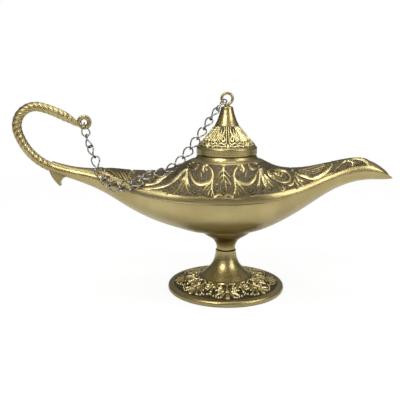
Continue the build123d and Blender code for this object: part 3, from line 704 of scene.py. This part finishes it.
def lid_ornament(turns, rounds, heights, outward):
    """Lift and ground on the outside of the cone, as eight sectors side by side."""
    sector = 2 * np.pi / LID_REPEATS
    beside = (turns + sector / 2) % sector - sector / 2
    outside = (outward[:, 2] > 0.05) & (heights > 86.0) & (heights < 98.2)
    places = np.stack([beside * rounds, heights], 1)
    raised = lift(places, lid_strokes, 0.25) * outside
    ground = np.clip((97.9 - heights) / 0.3, 0, 1) * np.clip((heights - 86.2) / 0.4, 0, 1) * outside
    return raised, ground


turned("embossed_lid", "lid", lid_outline, 0.25, 480, lid_ornament, RELIEF_BRASS, ["lid"])

# %% [markdown]
# ## The foot
# The foot's top carries palmettes: a knob, a drop and a small fan on each of eight spokes, with curled
# scrolls on both sides and a garland of beads from one palmette to the next. The rim and the stem stay
# plain.

# %% Build the foot
rim = [(33.1 + 1.6 * math.sin(a), 1.85 - 1.85 * math.cos(a)) for a in np.linspace(0.2, math.pi - 0.25, 14)]
foot_outline = ([(30.9, 0.0), (33.0, 0.0)] + rim + [(32.9, 3.72), (15.0, 8.0), (2.2, 8.0), (2.2, 5.8),
                 (15.0, 5.8),
                (30.9, 1.5)])
FOOT_REPEATS = 8
foot_half = [
    ((0.9, 1.2, 1.1, 0.9), [(1.5, 16.3), (4.2, 16.2), (5.6, 18.0), (5.0, 20.2), (3.2, 20.4),
                            (2.9, 18.9), (4.0, 18.4)]),
    ((0.8, 1.3, 0.9), [(1.6, 20.6), (2.5, 23.4), (5.0, 24.6)]),
    ((0.8, 1.1, 0.8), [(3.0, 22.2), (5.2, 22.6), (6.6, 21.0)]),
    ((0.9, 1.4, 1.1), [(1.2, 25.2), (2.4, 26.6), (3.6, 28.6)]),
    ((0.8, 1.2, 1.0), [(2.6, 25.2), (4.6, 26.0), (6.0, 27.0)]),
    ((1.3, 1.3), [(3.9, 29.2)]), ((1.2, 1.2), [(6.5, 27.6)]),
]
for k in range(5):
    foot_half.append(((1.15, 1.15), [(5.2 + 1.5 * k, 29.6 - 0.35 * k - 0.12 * k * k)]))
foot_strokes = foot_half + [(w, [(-t, r) for t, r in p]) for w, p in foot_half] + [
    ((1.9, 1.9), [(0, 17.4)]), ((1.0, 1.6, 3.0), [(0, 18.6), (0, 20.8), (0, 23.2)]),
    ((1.4, 2.2, 3.0), [(0, 26.0), (0, 27.8), (0, 29.6)])]
between_strokes = [((1.0, 2.4), [(0, 16.6), (0, 19.6)]), ((0.9, 1.6), [(0, 21.6), (0, 24.6)]),
                   ((1.5, 1.5), [(0, 26.4)]),
                   ((0.9, 1.4), [(1.4, 19.6), (2.6, 23.0)]), ((0.9, 1.4), [(-1.4, 19.6), (-2.6, 23.0)])]


def foot_ornament(turns, rounds, heights, outward):
    """Lift and ground on the top of the foot, in sectors on and between the spokes."""
    sector = 2 * np.pi / FOOT_REPEATS
    beside = (turns + sector / 2) % sector - sector / 2
    between = turns % sector - sector / 2
    top = (outward[:, 2] > 0.5) & (rounds > 15.0) & (rounds < 32.6)
    raised = lift(np.stack([beside * rounds, rounds], 1), foot_strokes, 0.3)
    raised = np.maximum(raised, lift(np.stack([between * rounds, rounds], 1), between_strokes, 0.3)) * top
    ground = np.clip((31.7 - rounds) / 0.5, 0, 1) * np.clip((rounds - 15.2) / 0.4, 0, 1) * top
    return raised, ground


turned("embossed_foot", "base", foot_outline, 0.3, 640, foot_ornament, RELIEF_BRASS, ["foot_disc"])

# %% [markdown]
# ## The rope handle
# The handle is cast in the form of twisted rope. Its line is three arcs that run into each other. Five
# strands wind round it, and the depth of the grooves is real, so they break up the outline as they do on
# the casting. The end flattens into a round boss with a countersunk hole for the chain.

# %% Build the handle
ROPE = 2.75
STRANDS = 5
LEAD = 15.5                   # mm along the rope for one full turn of a strand


def rope_line(step=0.22):
    """Centreline points and directions along the three arcs."""
    heading, at = math.radians(156.5), np.array([-103.0, 74.0])
    points, headings = [], []
    for bend, turned_by in ((31.0, 50.5), (11.5, 120.5), (60.0, 22.5)):
        count = int(bend * math.radians(turned_by) / step)
        centre = at + bend * np.array([math.sin(heading), -math.cos(heading)])
        for i in range(count):
            now = heading - math.radians(turned_by) * i / count
            points.append(centre + bend * np.array([-math.sin(now), math.cos(now)]))
            headings.append(now)
        heading -= math.radians(turned_by)
        at = centre + bend * np.array([-math.sin(heading), math.cos(heading)])
    return np.array(points + [at]), np.array(headings + [heading])


line, headings = rope_line()
runs = np.concatenate([[0], np.cumsum(np.hypot(*np.diff(line, axis=0).T))])
around = 80
angle = np.linspace(0, 2 * np.pi, around, endpoint=False)
phase = (STRANDS * (angle[None, :] - 2 * np.pi * runs[:, None] / LEAD) / (2 * np.pi)) % 1
off_middle = np.abs(phase * 2 - 1)
strand = np.sqrt(np.clip(1 - off_middle ** 2, 0, 1))
taper = np.interp(runs, [0, 2, runs[-1] - 9, runs[-1] - 2, runs[-1]], [0.97, 1, 1, 0.62, 0.42])[:, None]
rope_radius = ROPE * taper * (0.80 + 0.20 * strand)
across = np.stack([np.sin(headings), 0 * headings, -np.cos(headings)], 1)
centre = np.stack([line[:, 0], 0 * runs, line[:, 1]], 1)
points = (centre[:, None, :] + rope_radius[..., None] * (np.cos(angle)[None, :, None] * across[:, None, :]
          + np.sin(angle)[None, :, None] * np.array([0, 1.0, 0]))).reshape(-1, 3)
faces = grid_faces(len(runs), around, wrap=True)
faces += [list(range(around))[::-1], [(len(runs) - 1) * around + j for j in range(around)]]
relief = np.clip(strand * 1.5 - 0.15, 0, 1).ravel()
mesh_piece("rope_handle", "base", points, faces, relief, RELIEF_BRASS, ["handle"])

BOSS = (-82.02, 0.0, 99.62)
boss_outline = [(1.7, -0.7), (2.8, -1.2), (3.7, -1.2), (4.1, -0.8), (4.2, -0.3), (4.2, 0.3),
                (4.1, 0.8), (3.7, 1.2),
                (2.8, 1.2), (1.7, 0.7)]
ring = np.array(boss_outline)
angle = np.linspace(0, 2 * np.pi, 96, endpoint=False)
points = np.stack([BOSS[0] + ring[:, :1] * np.cos(angle), ring[:, 1:] + 0 * angle,
                   BOSS[2] + ring[:, :1] * np.sin(angle)], -1).reshape(-1, 3)
faces = grid_faces(len(ring), 96, wrap=True)
last = (len(ring) - 1) * 96
faces += [[last + j, last + (j + 1) % 96, (j + 1) % 96, j] for j in range(96)]
mesh_piece("handle_boss", "base", points, faces, np.ones(len(points)), RELIEF_BRASS, ["handle"])

# %% [markdown]
# ## Floor, backdrop and light
# The lamp stands on a plain white floor. Metal shows only what it reflects, so the room matters more
# than the lamps: a soft bright ceiling, a darker band at eye level for the dark edges, and two wide soft
# boxes. To the camera the surroundings are plain white, and the floor keeps the lamp's soft shadow.

# %% Floor and lights
floor_mesh = bpy.data.meshes.new("floor")
floor_mesh.from_pydata([(-3, -3, 0), (3, -3, 0), (3, 3, 0), (-3, 3, 0)], [], [(0, 1, 2, 3)])
floor = bpy.data.objects.new("floor", floor_mesh)
bpy.context.scene.collection.objects.link(floor)
white, tree = material("white_paper")
seen = add(tree, "LightPath").outputs["Is Camera Ray"]
spot = add(tree, "TexCoord").outputs["Object"]
fibre = add(tree, "TexNoise", Vector=spot, Scale=900.0, Detail=2.0).outputs["Fac"]
paper = ramp(tree, fibre, [(0.3, "#F4F4F2"), (0.7, "#FAFAF8")])
lit = add(tree, "BsdfPrincipled", Base_Color=paper, Roughness=0.8).outputs["BSDF"]
plain = add(tree, "Emission", Color=linear("#FFFFFF"), Strength=1.0).outputs["Emission"]
away = add(tree, "VectorMath", {"operation": "LENGTH"}, _0=spot).outputs["Value"]
farther = dict(From_Min=0.1, From_Max=0.6, To_Min=0.9, To_Max=1.0)     # whiter away from the lamp
share_seen = add(tree, "MapRange", Value=away, **farther).outputs["Result"]
part_seen = add(tree, "Math", {"operation": "MULTIPLY"}, _0=seen, _1=share_seen).outputs["Value"]
finish_material(tree, add(tree, "MixShader", _0=part_seen, _1=lit, _2=plain).outputs["Shader"])
floor_mesh.materials.append(white)

world = bpy.data.worlds.new("studio")
bpy.context.scene.world = world
world.use_nodes = True
sky = world.node_tree
sky.nodes.clear()
direction = add(sky, "TexCoord").outputs["Generated"]
upward = add(sky, "SeparateXYZ", Vector=direction).outputs["Z"]
level = add(sky, "MapRange", Value=upward, From_Min=-1.0, From_Max=1.0).outputs["Result"]
room = ramp(sky, level, [(0.0, "#6E6D6A"), (0.49, "#3A3936"), (0.60, "#6C6A66"), (0.85, "#B8B7B4")])
around_it = add(sky, "Background", Color=room, Strength=1.0).outputs["Background"]
backdrop = add(sky, "Background", Color=linear("#FFFFFF"), Strength=1.0).outputs["Background"]
by_camera = add(sky, "LightPath").outputs["Is Camera Ray"]
chosen_sky = add(sky, "MixShader", _0=by_camera, _1=around_it, _2=backdrop).outputs["Shader"]
add(sky, "OutputWorld", Surface=chosen_sky)


def soft_box(name, place, aim, size, power):
    """A square area light looking at a point, all in metres and watts."""
    data = bpy.data.lights.new(name, "AREA")
    data.shape = "RECTANGLE"
    data.size, data.size_y = size
    data.energy = power
    lamp = bpy.data.objects.new(name, data)
    bpy.context.scene.collection.objects.link(lamp)
    lamp.location = place
    way = [b - a for a, b in zip(place, aim)]
    flat = math.hypot(way[0], way[1])
    lamp.rotation_euler = (math.atan2(flat, -way[2]), 0, math.atan2(way[1], way[0]) - math.pi / 2)


soft_box("key", (-0.35, -0.55, 0.62), (0.0, 0.0, 0.06), (0.35, 0.35), 4.2)
soft_box("fill", (0.55, -0.35, 0.40), (0.0, 0.0, 0.06), (0.30, 0.40), 2.2)
soft_box("top", (0.0, 0.05, 0.75), (0.0, 0.0, 0.05), (0.6, 0.35), 2.6)
bpy.context.scene.view_settings.view_transform = "Standard"
